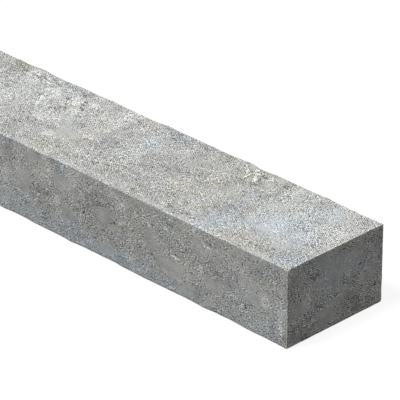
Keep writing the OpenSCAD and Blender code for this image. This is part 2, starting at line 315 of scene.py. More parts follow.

# Small marks: across, down, half length, half width, lightness in hundredths and, for those that
# need them, tilt in degrees (down and away from where across starts) and warmth
# Pits among these are painted dark, as the shade inside them.
Mark = namedtuple("Mark", "across down long wide lightness tilt warmth", defaults=(0, 0))
TOP_MARKS = [
    # Up to 100 mm: pinholes painted dark as their shade, dark specks and pale streaks
    (78.5, 18.7, 1.1, 1.5, -70), (94.5, 16.2, 1.4, 0.9, -50, -30), (81.5, 16.7, 0.9, 0.6, -35),
    (86.5, 3.7, 1.3, 1.1, -45), (89.5, 10.7, 0.7, 1.6, -35, -20), (67.5, 43.2, 1.3, 0.9, -45, -30),
    (9.5, 54.7, 1.6, 1, -38, -20), (13, 62.2, 2, 1.5, -25, 0, -0.5), (17, 64.2, 1.7, 1.8, -45, 0, -0.6),
    (31.5, 48.7, 3, 2.2, -12, 0, -0.6), (36.5, 52.7, 3, 2, -14, -30, -0.8),
    (40.5, 56.7, 3.5, 1.2, -16, -60, -0.5), (91.5, 60.7, 1.6, 0.9, -55, -15),
    (82.5, 60.7, 1.8, 0.7, -32, -20), (57.5, 62.7, 4, 0.8, 20, -10), (49.5, 65.7, 5, 0.7, 14, 10),
    (38.5, 67.7, 1.3, 0.9, -28, -30), (63.5, 65.7, 3.2, 2.6, -12), (96.5, 70.7, 2.2, 0.9, -25, -10),
    (92.5, 75.7, 1.1, 1.1, -32), (79.5, 79.2, 2, 1.1, 24), (85.5, 88.7, 1.6, 0.9, -38),
    (86.5, 82.7, 1, 4.5, 16, -15, -0.8), (90.5, 94.7, 3, 4, 8, 0, -0.8), (22.5, 94.7, 1, 2.2, -38),
    (30.5, 89.7, 2.2, 1.1, -28), (73.5, 92.7, 0.8, 1.8, -28), (45.5, 9.7, 2.4, 2.2, -14, 0, -0.2),
    (52.5, 8.7, 1, 2.4, -25, 15), (55.5, 14.7, 0.7, 2.2, -24, 10), (62.5, 11.7, 0.7, 2.4, -24, 10),
    (56.5, 28.7, 0.7, 2.6, -26, 10), (36.5, 27.7, 3, 1.4, -18, 10, -0.2),
    (45.5, 30.7, 3.2, 0.7, -26, -40), (16.5, 5.7, 2.2, 0.8, -25, -20), (12.5, 12.7, 2, 0.8, -22, -30),
    (14.5, 16.7, 2, 0.7, 20, -30), (62.5, 56.7, 1, 1, -28), (68.5, 58.7, 1.4, 0.8, -28, -30),
    (44.5, 39.7, 1.6, 0.7, -24, -30), (20.5, 31.7, 1.6, 0.8, -24), (98, 42, 1.6, 6, 10, 0, -0.6),
    # The scab by the back arris: pits painted dark as their shade, then flakes
    (110.5, 9.7, 1.7, 2.2, -58), (114, 8.7, 0.9, 2.8, -60, 20), (118.5, 4.2, 1.6, 1.2, -50),
    (110.5, 15.2, 1, 2.6, -50, 10), (107.5, 21.7, 3.2, 1.2, -55), (111, 23.7, 1.4, 1.8, -50),
    (119.5, 23.7, 3.4, 1.5, -45), (120.5, 19.7, 0.8, 2.6, -42), (106.5, 18.7, 1.6, 0.9, -40),
    (120, 13.7, 0.7, 3.2, -38, 5), (124.5, 9.7, 0.8, 1.4, -36), (128.5, 16.7, 0.9, 1.1, -35),
    (126.5, 23.7, 1.2, 1.1, -32), (113, 20.7, 0.6, 2.2, -38), (117.5, 9.2, 2.2, 1.6, 70),
    (113.5, 17.7, 1.5, 3.2, 50, 10, 0.1), (116.5, 14.7, 1.4, 3, 46, 10),
    (122.5, 16.7, 1.4, 4.4, 52, 0, 0.1), (122.5, 5.7, 1.8, 2.2, 50, 0, -0.2),
    (105.5, 8.7, 2.2, 3.2, 22, 0, -0.7), (111, 27.7, 1.4, 2, 26, 0, 0.2),
    (126, 13.7, 1.4, 3.6, 18, 0, 0.2), (133.5, 11.7, 0.9, 2.2, 14, 0, 0.5),
    # 100 to 200 mm
    (106.5, 36.7, 1.5, 0.9, -48, -25), (137.5, 40.7, 2, 1.8, 24), (142.5, 42.7, 1.1, 2, 16),
    (140.5, 45.7, 1.8, 1, -30), (138.5, 48.2, 1, 0.8, -32), (156.5, 29.7, 1.4, 0.8, -48, -30),
    (153.5, 35.7, 0.9, 0.8, -28, 0, -0.3), (147.5, 43.7, 0.8, 0.8, -38), (170.5, 49.7, 1.2, 1.2, -38),
    (169.5, 53.7, 1.1, 0.9, -34), (180.5, 56.2, 1, 0.9, -36), (178.5, 50.7, 4, 0.6, -26, -15),
    (186.5, 52.7, 3.5, 0.6, -32, -15), (190.5, 50.2, 1.2, 0.7, -34), (174.5, 63.7, 1.6, 0.9, -36),
    (176.5, 65.2, 1.1, 1.4, 26), (150.5, 62.7, 2.2, 1.4, 24, 0, -0.1), (158.5, 63.2, 4, 0.8, 14),
    (127.5, 61.7, 1.6, 1.7, 14, 0, -0.2), (119.5, 72.7, 3, 4, 8, 0, -0.7),
    (185.5, 71.2, 3.2, 1.6, 14, 0, -0.1), (180.5, 76.7, 2.4, 1.1, 20, 0, -0.2),
    (197.5, 65.7, 1.1, 0.9, -50), (186.5, 82.7, 1.7, 1.3, -28), (193.5, 75.7, 2.6, 0.8, -30),
    (195.5, 83.7, 1.2, 0.9, -36), (122.5, 78.7, 2.2, 1.1, -38, -10), (132.5, 70.7, 1.2, 1.1, -32),
    (138.5, 75.7, 0.8, 1.6, -32), (128.5, 75.7, 1, 0.9, -36), (152.5, 77.7, 2.4, 2, -14, 0, -0.4),
    (157.5, 79.2, 1.2, 0.8, 22), (109.5, 90.7, 2.8, 1, -38, -10), (101.5, 92.7, 1.6, 1.1, -32),
    (118.5, 96.7, 1.4, 1.1, -58, -20), (126.5, 91.7, 2.2, 0.9, -34, -15),
    (113.5, 96.7, 3, 2.2, -10, 0, -0.8), (166.5, 91.7, 1.1, 1.2, -48), (150.5, 87.7, 1.2, 0.9, -30),
    (134.5, 89.7, 3.2, 1.5, 16, 0, -0.4), (176.5, 6.7, 2, 0.9, -35, -30), (184.5, 3.7, 2.2, 0.8, -38),
    (181.5, 11.7, 1.4, 2.6, 18, 0, -0.3), (160.5, 5.7, 1.8, 0.7, -26, -30),
    (154.5, 18.7, 1.8, 0.7, -28, -30),
    # 200 to 300 mm, with the pits beside the ring of lime, painted dark as their shade
    (215, 81.7, 1.6, 1.3, -52), (207, 78.7, 3, 1.1, -42, 10), (204, 73.7, 2.2, 2, -34),
    (235, 14.7, 1.8, 0.9, -46, -30, 0.4), (233, 11.7, 1.2, 0.8, -32, 0, 0.2),
    (251.5, 18.2, 1.2, 1.5, -65), (296.3, 22, 1.9, 1.4, -85, -45), (293.5, 26, 1.7, 1.1, -60, -45),
    (290, 28.4, 2.1, 1.3, -85, -50), (298.5, 17.2, 2.4, 1.2, -60, -15), (289, 21.7, 1.6, 1.6, 18),
    (222, 11.7, 1.2, 4.5, 16, 5, -0.5), (216, 21.7, 3, 1.6, 15, 0, -0.2),
    (204, 12.7, 3.4, 1.3, -30, -15, -0.7), (211, 7.7, 3, 1, -28, -10, -0.4),
    (206, 4.7, 3, 1, -34, 0, -0.3), (218, 3.7, 3, 0.9, -34), (244, 27.7, 2.2, 1.6, -24, -30, -0.4),
    (255, 56.7, 3, 2.2, 14, 0, 0.2), (251, 61.7, 1.2, 2, -36, 0, -0.4),
    (240, 79.7, 2, 1.8, 18, 0, -0.2), (232, 78.7, 2.2, 1, 16), (226, 82.7, 2.2, 0.9, 18),
    (265, 77.7, 2.4, 0.8, -38, 40), (284, 66.7, 3.2, 2.4, -16, -30), (279, 76.7, 5, 0.8, 14),
    (286, 71.7, 1.6, 1.1, 18), (257, 96.7, 1.6, 1.1, 20), (263, 47.7, 2.4, 0.9, 18, 0, 0.2),
    (255, 44.7, 3.4, 1.2, 12, 0, 0.4), (259, 35.7, 2.4, 0.6, -28, -25), (272, 33.7, 2.2, 1.4, 24, -30),
    (283, 37.2, 1.6, 0.9, -34), (287, 37.7, 0.9, 1, -32), (276, 19.7, 1.1, 1.8, -24),
    (298, 37.7, 3.4, 1.2, 16), (291, 35.7, 3, 0.8, 18, 35), (298, 70.7, 1.1, 1.1, -38),
    (291, 79.7, 1.8, 0.8, -32), (212, 33.7, 1.6, 0.9, -32, -20), (207, 30.7, 1.8, 0.8, -28, -10),
    (252, 68.7, 1.6, 1.1, -30), (237, 57.7, 2, 0.7, -28, -20), (231, 61.7, 2.4, 0.7, 18, -20),
    (222, 55.7, 2.6, 0.7, 16, -20), (281, 4.7, 2.2, 0.8, -32, -10), (274, 11.7, 0.8, 2.4, -26, 20),
    (264, 10.7, 1, 3.4, -16, 25),
    # The ring of lime: its pale rim, then the cracks beside it, as pale lines of painted highlight and
    # thin dark lines of painted shade
    (290, 37, 3, 3.6, 12, 60, 0.2), (296, 37.5, 5, 1.8, 18, -20, 0.1), (292, 55, 6, 3, 11, 35, 0.1),
    (303, 60.5, 5, 3, 16, 5, 0.1), (310, 58, 3.5, 2.6, 14, -20, 0.1), (286, 46, 3, 4, 6, 30),
    (320, 50, 5, 1.1, 28, -50), (325, 44, 5, 1.2, 24, -55), (329, 36, 4.5, 1.8, 14, -70),
    (285, 53, 2.5, 0.7, -26, 48), (295, 63.5, 3.5, 0.7, -22, 22), (314, 61, 3.5, 0.8, -22, -25),
    (292.5, 44, 2.5, 0.7, -22, 75), (299, 54.5, 2.5, 0.7, -24, 28), (326, 49, 3.5, 0.7, -24, -50),
    # Streaks of lime by the back arris
    (352, 7.5, 6, 0.9, 28, -20), (360, 9.5, 6, 0.8, 28, -15), (358, 15.5, 6, 0.8, 24, -20),
    (346, 13.5, 6, 0.8, 26, -22), (366, 14, 5, 0.8, 24, -15), (355, 10, 5, 0.7, -34, -20),
    (349, 17, 5, 0.7, -32, -20), (363, 12, 4, 0.7, -34, -15), (341, 9, 4, 0.7, -32, -25),
    (337, 7, 5, 0.8, 24, -25), (371, 9, 4, 0.8, 24, -15), (374, 15, 4, 0.7, -30, -20),
    # Round the ring of lime and beyond, with more of a crack's painted highlight and shadow line
    (312.5, 22.2, 1.8, 2.2, -52, 0, -1.6), (316.5, 21.7, 1.1, 0.9, -30, 0, 0.8),
    (309, 25.7, 2.2, 3, 10, 0, 0.3), (307, 9.7, 2.2, 1.5, -32), (303, 12.2, 2.4, 1, -34, -20),
    (311, 6.7, 1.4, 1.6, -26, 0, -0.3), (314, 15.7, 2, 2, 16, 0, 0.2),
    (307, 29.7, 1.2, 1, -26, 0, -0.7), (317, 28.7, 1.2, 1.2, -14, 0, -0.8),
    (307, 41.2, 2.2, 1, -52, -20), (311, 43.2, 1.4, 1.1, -38), (307, 44.2, 2.2, 1.2, 30),
    (304, 32.7, 1.7, 1.1, -34, 0, 0.5), (306, 36.7, 1.6, 1.1, -34, 0, 0.4), (303, 46.7, 2.4, 0.9, -28),
    (319, 41.7, 3, 1.8, 12, -40), (330, 31.7, 1, 4, 22, 10), (323, 44.7, 5, 0.9, 28, -50),
    (321, 48.2, 3.4, 0.7, -30, -40), (316, 51.7, 2.8, 0.7, 24, -40), (336, 24.7, 2.4, 4, 12, 0, 0.5),
    (334.5, 32.2, 2.8, 1.8, -36, 0, 0.5), (338, 15.7, 4, 2.4, -24, -20),
    (365, 32.7, 2.2, 0.9, -55, -15), (368, 24.7, 1.1, 3.2, -36, 30),
    (364, 41.7, 2.6, 1.4, -42, -10, -0.8), (366, 44.7, 3, 2, 8, 0, -0.8), (374, 11.7, 2.8, 1.1, -34),
    (369, 18.7, 1.7, 1.7, -28), (351, 10.7, 3.2, 1, -34, -20), (357, 12.7, 2.2, 2, -30),
    (389, 22.7, 2.4, 2.2, 30), (375, 34.7, 2.4, 2.2, 18, 0, -0.5), (313, 77.7, 1.7, 0.9, -38),
    (310, 67.7, 1.3, 0.8, -34), (331, 73.7, 1.8, 0.7, -36, -10), (337, 63.7, 3.2, 2.6, -12, 0, -0.4),
    (306, 60.7, 6, 1.3, 14, 5), (304, 64.7, 5, 0.7, -22, -10), (317, 5.7, 2.8, 1.2, -26, -20, -0.6),
    (326, 5.7, 1.4, 2.6, -30, 25), (333, 4.7, 1.2, 2.6, -36, 25), (323, 11.7, 2.4, 0.9, 18, -20),
    (346, 6.7, 2.6, 0.9, -32, -25), (342, 19.7, 2, 1, -30, -25), (353, 23.7, 3.4, 0.8, 14, -25),
    (381, 17.7, 2, 1, -34, -30), (386, 7.7, 2.4, 1, -30, -25, 0.3),
]
FRONT_MARKS = [
    # Up to 100 mm
    (13, 16.2, 1.6, 1.1, 28), (22, 12.7, 3, 0.7, 38, 45, -0.3), (25, 15.7, 0.8, 0.9, -38),
    (7, 21.7, 2.6, 0.7, 20, 20), (36, 14.7, 2, 4, -8, 0, -0.7), (34.5, 6.7, 0.9, 0.8, -34),
    (38, 7.2, 1.6, 0.7, -34), (50, 24.7, 3, 4.5, -8, 0, -0.7), (60, 22.7, 0.8, 1.2, -38),
    (70, 29.7, 1.2, 1, -38), (67, 30.7, 1, 0.7, -32), (57, 35.7, 1.2, 1.1, -36),
    (60, 37.7, 1.2, 0.8, -36), (76, 10.7, 5.5, 0.6, -38), (75, 12.7, 6, 0.6, 20),
    (81, 13.2, 2.8, 1.1, 38, -5, -0.6), (85, 11.2, 2.4, 0.7, 28, -25, -0.2),
    (94, 4.7, 1.4, 2.2, 42, 0, -0.7), (91, 8.7, 3.6, 1.4, 8, 0, -0.9), (84, 32.7, 0.6, 3.6, -40, 20),
    (88, 28.7, 2.8, 0.6, -40, -35), (93.5, 29.7, 2.8, 0.6, -34, 45), (87, 32.2, 1.6, 2, 24),
    (85.5, 35.2, 2, 1.2, 20), (81, 34.7, 3, 0.6, -22), (44, 46.7, 2.4, 1.8, 28, 0, -0.4),
    (45, 50.2, 2.2, 1.1, 26, 0, -0.4), (41, 46.7, 0.8, 1.8, -34, -20), (46.5, 53.2, 1.4, 0.8, -34),
    (52, 43.7, 2.2, 2.4, 18, 0, -0.3), (50, 47.2, 1.6, 0.7, -28, -20), (37, 43.7, 1.6, 0.8, -28, 20),
    (22, 32.7, 4, 0.8, 16, 20), (23, 37.7, 4, 0.8, 14, 20), (12, 40.7, 3.4, 0.7, -24, -20),
    (12, 44.7, 3.4, 0.7, -24, -20), (2.5, 35.7, 1.8, 3, 24, 0, -0.4),
    (3.5, 50.7, 2.4, 1.8, 24, 0, -0.3), (6, 54.7, 3, 0.8, 20, 30), (95, 49.2, 0.9, 1.8, -34, -20),
    (90, 55.7, 5, 3.6, -6, 0, -0.6), (16, 52.7, 2.4, 0.8, -26, 30), (73, 60.7, 4, 0.6, -24, 20),
    (80, 59.7, 4, 0.6, 16, 20), (57, 51.7, 2.6, 0.7, -24, 20, 0.2),
    # 100 to 200 mm
    (122.5, 14.2, 3, 1.9, 40, 5, -0.4), (141.5, 17.7, 4.2, 1.2, 28, -38, -0.1),
    (137.5, 15.7, 0.8, 1.7, -34), (144.5, 15.7, 2, 1, 20), (134, 25.2, 2.8, 0.8, 28, 25, -0.3),
    (129.5, 22.7, 1.4, 0.8, -30, 20), (113.5, 34.2, 3.2, 0.9, 44, -10), (120.5, 32.2, 5, 0.6, 26, -25),
    (105.5, 35.2, 5, 0.6, 18, 5), (108.5, 32.2, 5.5, 0.6, -36, 5), (105.5, 26.7, 4, 0.6, -28, 5),
    (106.5, 29.2, 4, 0.6, 20, 5), (104.5, 23.7, 3.4, 0.6, -26, 5), (104.5, 20.2, 3, 0.6, 20),
    (124.5, 25.7, 1.6, 4, -5, 0, -0.6), (155.5, 14.7, 1.2, 3.2, 22, 0, -0.6),
    (152.5, 12.7, 0.8, 2.2, -28), (154.5, 8.2, 2.4, 0.7, -26), (158.5, 29.7, 3.6, 0.8, -32, 0, 0.2),
    (152.5, 38.7, 1.8, 0.7, -28), (169.5, 12.2, 2.6, 1.2, 34, 0, 0.3),
    (172.5, 14.7, 1.6, 1.1, 22, 0, 0.2), (177.5, 7.7, 3, 1.8, 6, 0, -0.7),
    (162.5, 24.7, 0.9, 3.6, 28, 0, -0.3), (168.5, 26.7, 2.6, 0.9, 30, 10, 0.1),
    (171.5, 28.7, 1.8, 1.1, 36, 0, 0.3), (165.5, 22.2, 2.2, 0.8, 22), (169.5, 31.2, 1.1, 1.6, -34, -20),
    (161.5, 37.7, 2.2, 1.4, 14, 0, 0.5), (180.5, 18.7, 1.6, 0.9, 36), (187.5, 4.7, 1.4, 2, 20),
    (192.5, 21.2, 2.6, 0.8, -36, 25), (196.5, 22.7, 1.1, 0.8, -34), (183.5, 17.2, 2.8, 0.7, -28, 5),
    (178.5, 30.7, 1.6, 1.1, -38), (176.5, 27.7, 0.9, 0.8, -32), (181.5, 32.2, 1, 0.8, -32),
    (190.5, 41.2, 2.4, 0.9, -34, 0, -0.5), (185.5, 44.7, 3, 0.6, -24),
    (139.5, 41.7, 2.8, 0.9, -36, 5, -0.5), (134.5, 43.7, 1.8, 0.7, -28, 0, -0.2),
    (128.5, 51.7, 2.4, 0.7, -34), (164.5, 54, 8, 0.9, 18, 0, -0.5), (170.5, 56.2, 6, 0.6, -34),
    (118.5, 61.2, 3.6, 1.3, 32, 12, -0.5), (108.5, 52.2, 3.4, 0.8, 14), (199.5, 51.2, 1.8, 0.8, -36),
    (112.5, 55.7, 0.9, 1.1, -26),
    # 200 to 300 mm
    (207.5, 13.7, 3, 1.7, 30, 0, -0.1), (213.5, 15.7, 2.8, 0.9, -28), (204.5, 23.5, 3.2, 0.6, 20),
    (204.5, 25.7, 3.2, 0.6, -24), (211.5, 33.7, 1.8, 1.1, -50), (210.5, 30.7, 1.2, 0.7, -32),
    (212.5, 37.7, 2.2, 1, 18, 0, 0.3), (222.5, 36.7, 1.2, 1.1, -40), (219.5, 34.7, 1, 0.9, -32),
    (218.5, 41.7, 1.2, 1.1, 24), (216.5, 26.7, 1.2, 0.8, -38), (218.5, 14.7, 0.5, 7, -22, -28),
    (227.5, 8.7, 4.2, 1.2, 28, 30), (229.5, 11.7, 0.7, 2.4, -28, -20),
    (235, 4.7, 1.2, 2.4, 38, 0, -0.6), (238.5, 7.7, 3, 3, -5, 0, -0.8), (248.5, 12, 3.2, 0.9, 42, 10),
    (254.5, 8.2, 4.6, 0.6, 24, 0, 0.2), (254.5, 10.5, 4.6, 0.5, -24),
    (254.5, 4.7, 4.6, 0.6, 22, 0, 0.2), (253.5, 18.5, 2.6, 0.7, 26, 5), (253.5, 16.7, 2.6, 0.6, -34, 5),
    (252.5, 29.7, 1.6, 1, 40), (253, 33.7, 2, 1.4, -40, 0, -0.6), (256.5, 31.2, 1.6, 0.8, -34),
    (259.5, 35.2, 3.4, 0.6, -28, 5), (262.5, 28.7, 0.9, 1.2, -34), (240.5, 34.2, 3, 3.4, 22, 0, -0.6),
    (268.5, 23.2, 1.1, 1, -50, 0, -0.2), (271.5, 34.7, 1.3, 1, -36), (268.5, 30.7, 1.2, 0.8, -32),
    (266.5, 43.7, 1.8, 1, 26), (276, 44.2, 2.6, 2, 20, 0, -0.4), (281.5, 47.2, 3.2, 1, 22, 20, -0.5),
    (285, 49.7, 2.6, 1.1, 28, 40, -0.4), (276.5, 49, 4, 0.7, -38, 0, 0.3), (283, 53.7, 1.4, 1, -38),
    (286.5, 13.7, 1.8, 1.3, 22), (286.5, 11.7, 0.9, 0.8, -36), (288.5, 20.7, 1.2, 0.8, -32),
    (298.5, 7.7, 3.6, 1.8, 8, 0, -1), (252.5, 51.2, 1.4, 1, 30), (255.5, 55.7, 4.2, 0.8, -40),
    (257.5, 53.7, 3, 0.8, 20), (241.5, 44.7, 0.8, 5, 18, 0, -0.6),
    (211.5, 60.7, 3.2, 1.2, 26, -10, -0.2), (204.5, 56.7, 2.2, 2, 16, 0, -0.5),
    (258.5, 41.7, 2.4, 0.8, 22, -20, -0.2), (261.5, 39.7, 1.4, 0.8, -30),
]
NEAR_END_MARKS = [
    (92.3, 47.7, 1.3, 1.1, -80), (82, 21.7, 1.1, 0.9, -58, 20), (75.5, 23.7, 0.9, 1.2, -42),
    (80.5, 32.2, 1.2, 0.8, -44, 20), (59, 33.2, 1.4, 0.9, -50), (59.5, 35.7, 1.1, 1, 24),
    (62.5, 34.7, 1, 0.7, -38), (70, 32.4, 1.4, 0.9, -54, 10), (73, 34.7, 1.1, 0.7, -42),
    (28, 18.2, 2.4, 1, -58, 20), (30, 15.2, 1.6, 0.8, -38), (25, 19.2, 1.8, 0.8, 24, -40),
    (26, 14.7, 1, 0.9, -32), (4.5, 22.2, 1, 1.4, -48), (22, 35.7, 2, 1.2, 26), (23, 32.2, 1.4, 1.6, 20),
    (40, 22.7, 3.2, 0.8, 24, 30, 0.4), (31, 41.7, 1.8, 0.7, -38, 20), (35.5, 43.7, 2.4, 0.7, -38, 35),
    (35, 45.2, 2.4, 0.7, 20, 35), (10.5, 53.7, 2.2, 1.4, 30, 20), (8, 51.7, 1.4, 0.8, -32),
    (24, 53.2, 2.2, 1.2, 26, 20), (23, 50.7, 2.2, 0.7, -34, 20), (63, 56.7, 1, 1.3, -52),
    (60.5, 51.7, 1.1, 1.1, -34), (66.5, 57.2, 3, 0.8, 26, -60), (73, 51.2, 1, 1.4, -38),
    (76, 55.2, 1, 1.2, -36), (84, 58.7, 0.9, 1, -44), (86, 54.7, 0.9, 0.8, -38), (80, 48.7, 1.6, 1, 22),
    (81, 56.7, 1.2, 2.4, 18, 20), (50, 40.7, 1.4, 1.2, -30), (92, 60.7, 2.2, 1, 20, -20),
    (20, 47.2, 1.8, 0.8, -30, 20), (48, 29.7, 3.2, 2.4, -6, 30, -0.6), (37, 13.7, 5, 3.2, 2, 10, -0.5),
]

Wear = namedtuple("Wear", "face stains tints roughness dents marks")
FACE_WEAR = [
    Wear(TOP, TOP_STAINS, TOP_TINTS, TOP_ROUGHNESS, TOP_DENTS, TOP_MARKS),
    Wear(FRONT, FRONT_STAINS, FRONT_TINTS, FRONT_ROUGHNESS, FRONT_DENTS, FRONT_MARKS),
    Wear(NEAR_END, NEAR_END_STAINS, NEAR_END_TINTS, NEAR_END_ROUGHNESS, NEAR_END_DENTS, NEAR_END_MARKS),
]

# What the last numbers of stains, tints and rough or calm patches are multiplied by
STAIN_SHADE = 1.4
TINT_SWING = 1.15
ROUGH_SWING = 2.3
# How far the outlines of those three, and of dents, stray
STAIN_STRAY = 0.7 * MM
DENT_STRAY = 1.0 * MM
# Where the placed wear has gone and where it is still full: how far below its face, for the stains
# and for the dents, and how far along the long faces from the near end. Random wear takes over.
STAIN_FADE_MM = (6, 4)
DENT_FADE_MM = (4, 2)
LENGTH_FADE_MM = (440, 400)


# ---------------------------------------------------------------------------
# Numbers spread over space

# How many values a random field has, how far off its lattice starts so that no cell's numbers are
# negative, and what mixes a cell's three numbers into the number of its value
FIELD_VALUES = 8192
FIELD_START = 1000
FIELD_MIX = (7919, 104729, 1299709)


def spread(term, step):
    """Term number `term` of a sequence that fills 0 to 1 evenly without repeating."""
    return term * step - np.floor(term * step)


def share(least, term, step):
    """The same sequence, from least to 1."""
    return least + (1 - least) * spread(term, step)


def random_field(points, size, seed):
    """A smooth field from -1 to 1 whose lumps are about `size` wide.

    Each corner of a cubic lattice has a random value, and a point blends the eight corners of its
    cell by 3t^2 - 2t^3 of its place between them.
    """
    values = np.random.default_rng(seed).uniform(-1, 1, FIELD_VALUES)
    place = points / size + FIELD_START
    cell = np.floor(place).astype(np.int64)
    part = place - cell
    part = part * part * (3 - 2 * part)
    total = np.zeros(len(points))
    for corner in product((0, 1), repeat=3):
        weight = np.prod(np.where(corner, part, 1 - part), axis=1)
        key = (cell + corner) @ np.array(FIELD_MIX)
        total += weight * values[key % FIELD_VALUES]
    return total


def lumps(points, layers, seed):
    """Random fields of different lump sizes, added up. layers gives (size, weight) pairs."""
    return sum(weight * random_field(points, size, seed + i) for i, (size, weight) in enumerate(layers))


def ramp(value, start, stop):
    """0 before start, 1 after stop and an S curve, 3t^2 - 2t^3, between, for whole arrays."""
    part = np.clip((value - start) / (stop - start), 0, 1)
    return part * part * (3 - 2 * part)


# ---------------------------------------------------------------------------
# The skin

# The axis that each side of the box faces along, and which way
SIDES = list(product(range(3), (-1, 1)))
# How close to its face a point of the box lies
ON_FACE = 1e-9


def stations(half, cells, crowding):
    """cells + 1 places from -half to half. They blend even spacing with the heights of points
    spread evenly round a half circle, which crowd towards both ends."""
    turn = np.linspace(-1, 1, cells + 1)
    return half * ((1 - crowding) * turn + crowding * np.sin(turn * math.pi / 2))


def box_skin():
    """Points, quads and each quad's side of a closed box: the outer faces of a lattice of stations,
    turned outwards.

    A point's number in the full lattice is its key, so that sides share the points of their edges.
    """
    lines = [stations(HALF[axis], CELLS[axis], CROWDING[axis]) for axis in range(3)]
    shape = tuple(len(line) for line in lines)
    number = np.arange(np.prod(shape)).reshape(shape)
    quads = []
    for axis, way in SIDES:
        side = np.take(number, 0 if way < 0 else -1, axis=axis)
        corners = [side[:-1, :-1], side[1:, :-1], side[1:, 1:], side[:-1, 1:]]
        # Axes 0 and 2 wind outwards at their high end, and axis 1 at its low end.
        if (way < 0) != (axis == 1):
            corners.reverse()
        quads.append(np.stack(corners, axis=-1).reshape(-1, 4))
    sides = np.repeat(np.arange(len(SIDES)), [len(side) for side in quads])
    used, quads = np.unique(np.concatenate(quads), return_inverse=True)
    places = np.unravel_index(used, shape)
    points = np.stack([line[place] for line, place in zip(lines, places)], axis=1)
    return points, quads.reshape(-1, 4), sides


def shave(points, normal, reach):
    """Pushes the points that stand beyond a plane back onto it, along its normal.

    reach is the plane's distance from the middle of the lintel, one value or one for each point.
    How far a point stands beyond is h, and it moves by (h + r)^2 / 4r while h is within the
    rounding r of the plane, so that the flat runs smoothly into the faces.
    """
    normal = np.array(normal, float) / np.linalg.norm(normal)
    beyond = points @ normal - reach
    near = (beyond + ROUNDING) ** 2 / (4 * ROUNDING)
    push = np.where(beyond > ROUNDING, beyond, np.where(beyond > -ROUNDING, near, 0))
    return points - push[:, None] * normal


def arris_wear(along, start, shown):
    """How deep a long arris is worn at each place along X.

    The mould's flat has one depth all along. Each knock is a parabola that is nothing at its two
    ends. At its middle it is deeper than the flat by what its term says, times `shown`. The
    deepest of them all counts.
    """
    flat = ARRIS_LEG / math.sqrt(2)
    depth = np.full(len(along), flat)
    for i in range(int(2 * HALF[0] / KNOCK_PITCH)):
        term = i + start
        stray = KNOCK_STRAY * (2 * spread(term, PLACE_STEP) - 1)
        place = HALF[0] - (i + 0.5 + stray) * KNOCK_PITCH
        deepest = flat + shown * KNOCK_DEPTH * share(LEAST_DEPTH, term, DEPTH_STEP)
        reach = KNOCK_LENGTH / 2 * share(LEAST_LENGTH, term, LENGTH_STEP)
        depth = np.maximum(depth, deepest * (1 - ((along - place) / reach) ** 2))
    return depth


def wear_arrises(points):
    """The points with their long arrises, sawn edges and corners worn off, each by a plane across it.

    A plane through a sharp edge or corner is as far from the middle as the half sizes that meet
    there, added up, over the root of how many they are. The worn one is nearer by the crumbs and,
    on a long arris, by arris_wear, or elsewhere by a leg over the same root.
    """
    crumbs = CRUMB_DEPTH * (1 + lumps(points, *CRUMBS))
    for i, (side, level) in enumerate(product((-1, 1), repeat=2)):
        sharp = (HALF[1] + HALF[2]) / math.sqrt(2)
        reach = sharp - arris_wear(points[:, 0], ARRIS_START[i], ARRIS_SHARE[i]) - crumbs
        points = shave(points, (0, side, level), reach)
    for end, side in product((-1, 1), repeat=2):
        points = shave(points, (end, side, 0), (HALF[0] + HALF[1] - SAW_LEG) / math.sqrt(2) - crumbs)
        points = shave(points, (end, 0, side), (HALF[0] + HALF[2] - SAW_LEG) / math.sqrt(2) - crumbs)
    for i, corner in enumerate(product((-1, 1), repeat=3)):
        leg = CORNER_LEG * share(LEAST_CORNER, i + CORNER_START, PLACE_STEP)
        points = shave(points, corner, (HALF.sum() - leg) / math.sqrt(3) - crumbs)
    return points


def ragged(points, amount):
    """The points, each moved a little by random lumps, so that what is laid out on them gets an
    uneven outline."""
    moves = [lumps(points, RAGGED_LAYERS, seed) for seed in RAGGED_SEEDS]
    return points + amount * np.stack(moves, axis=1)


def on_face(face, points):
    """(across, down, below) of the points as a face measures them, in millimetres."""
    return (
        (HALF[face.across] - face.across_side * points[:, face.across]) / MM,
        (HALF[face.down] - face.down_side * points[:, face.down]) / MM,
        (HALF[face.out] - face.out_side * points[:, face.out]) / MM,
    )


def laid_out(across, down, spots, power=4):
    """What a list of spots adds up to at each place. A spot is exp(-|x|^power - |y|^power) of its
    last number, where x and y are how far it is to its middle, in half lengths across and half
    widths down: the higher the power, the crisper and boxier the spot."""
    middle_across, middle_down, half_across, half_down, values = np.array(spots).T[:, :, None]
    x = np.abs(across - middle_across) / half_across
    y = np.abs(down - middle_down) / half_down
    return np.sum(values * np.exp(-x ** power - y ** power), axis=0)


def face_depth(points):
    """How deep the cast faces lie below flat: long hollows, shallow lumps and dents."""
    depth = MEAN_SINK_MM + lumps(points, *HOLLOWS)
    places = ragged(points, DENT_STRAY)
    for wear in FACE_WEAR:
        across, down, below = on_face(wear.face, places)
        depth += laid_out(across, down, wear.dents) * ramp(below, *DENT_FADE_MM)
    return depth * MM


def sink_faces(points, flat_points):
    """Moves every point in from the flat face, or faces, that it lies on, by the depth there."""
    depth = face_depth(flat_points)
    for axis in range(3):
        on_axis = np.abs(flat_points[:, axis]) > HALF[axis] - ON_FACE
        points[:, axis] -= np.sign(flat_points[:, axis]) * depth * on_axis
    return points


# ---------------------------------------------------------------------------
# What the skin's points carry to the material

